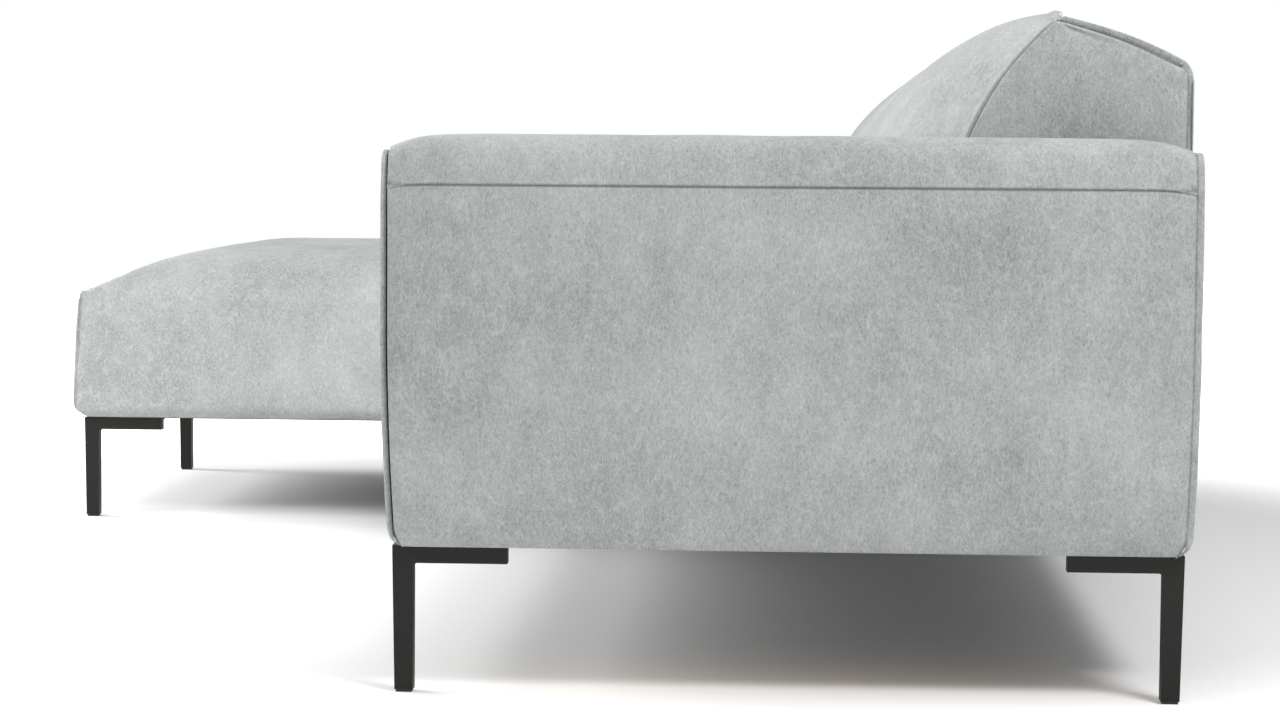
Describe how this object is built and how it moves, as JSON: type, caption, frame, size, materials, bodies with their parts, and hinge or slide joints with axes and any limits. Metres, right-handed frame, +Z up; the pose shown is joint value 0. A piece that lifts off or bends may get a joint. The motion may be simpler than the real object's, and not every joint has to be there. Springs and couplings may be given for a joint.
{
  "type": "lounge sofa with chaise",
  "caption": "Lounge sofa with panel arms, fixed puffed back cushions and a long chaise, on L-shaped steel legs.",
  "frame": {"origin": "centre of the whole footprint, on the floor", "axes": "+X along the sofa towards the two-seat element's arm, +Y to the back, +Z up"},
  "size_m": [2.719, 1.666, 0.799],
  "materials": {
    "cover_fabric": "matte",
    "powder_coated_steel": "matte",
    "zinc_steel": "satin",
    "spring_steel": "satin",
    "glide_plastic": "matte",
    "upholstery_foam": "matte",
    "dust_cloth": "matte",
    "spring_felt": "matte",
    "elastic_webbing": "matte",
    "fibreboard": "matte",
    "plywood": "matte",
    "beech_timber": "matte"
  },
  "bodies": {
    "root": {"arm_bolts": "zinc_steel", "chaise_back_cover": "cover_fabric", "chaise_back_foam": "upholstery_foam", "chaise_back_posts": "beech_timber", "chaise_back_rails": "beech_timber", "chaise_back_webbing": "elastic_webbing", "chaise_dust_cloth": "dust_cloth", "chaise_front_rail": "beech_timber", "chaise_inner_front_leg": "powder_coated_steel", "chaise_outer_front_leg": "powder_coated_steel", "chaise_rear_panel": "cover_fabric", "chaise_rear_rail": "beech_timber", "chaise_seat_cover": "cover_fabric", "chaise_seat_foam": "upholstery_foam", "chaise_side_rails": "beech_timber", "chaise_spring_felt": "spring_felt", "chaise_spring_rail": "beech_timber", "chaise_springs": "spring_steel", "corner_blocks": "beech_timber", "deck_boards": "plywood", "left_arm_boards": "fibreboard", "left_arm_cover": "cover_fabric", "left_arm_foam": "upholstery_foam", "left_arm_frame": "plywood", "left_arm_front_leg": "powder_coated_steel", "left_arm_rear_leg": "powder_coated_steel", "leg_glides": "glide_plastic", "leg_screws": "zinc_steel", "link_plates": "powder_coated_steel", "link_screws": "zinc_steel", "middle_back_cover": "cover_fabric", "middle_back_foam": "upholstery_foam", "middle_front_leg": "powder_coated_steel", "middle_rear_leg": "powder_coated_steel", "middle_seat_cover": "cover_fabric", "middle_seat_foam": "upholstery_foam", "right_arm_boards": "fibreboard", "right_arm_cover": "cover_fabric", "right_arm_foam": "upholstery_foam", "right_arm_frame": "plywood", "right_arm_front_leg": "powder_coated_steel", "right_arm_rear_leg": "powder_coated_steel", "right_back_cover": "cover_fabric", "right_back_foam": "upholstery_foam", "right_seat_cover": "cover_fabric", "right_seat_foam": "upholstery_foam", "sofa_back_posts": "beech_timber", "sofa_back_rails": "beech_timber", "sofa_back_webbing": "elastic_webbing", "sofa_dust_cloth": "dust_cloth", "sofa_front_rail": "beech_timber", "sofa_rear_panel": "cover_fabric", "sofa_rear_rail": "beech_timber", "sofa_side_rails": "beech_timber", "sofa_spring_felt": "spring_felt", "sofa_spring_rail": "beech_timber", "sofa_springs": "spring_steel", "spring_clips": "spring_steel"}
  },
  "joints": []
}
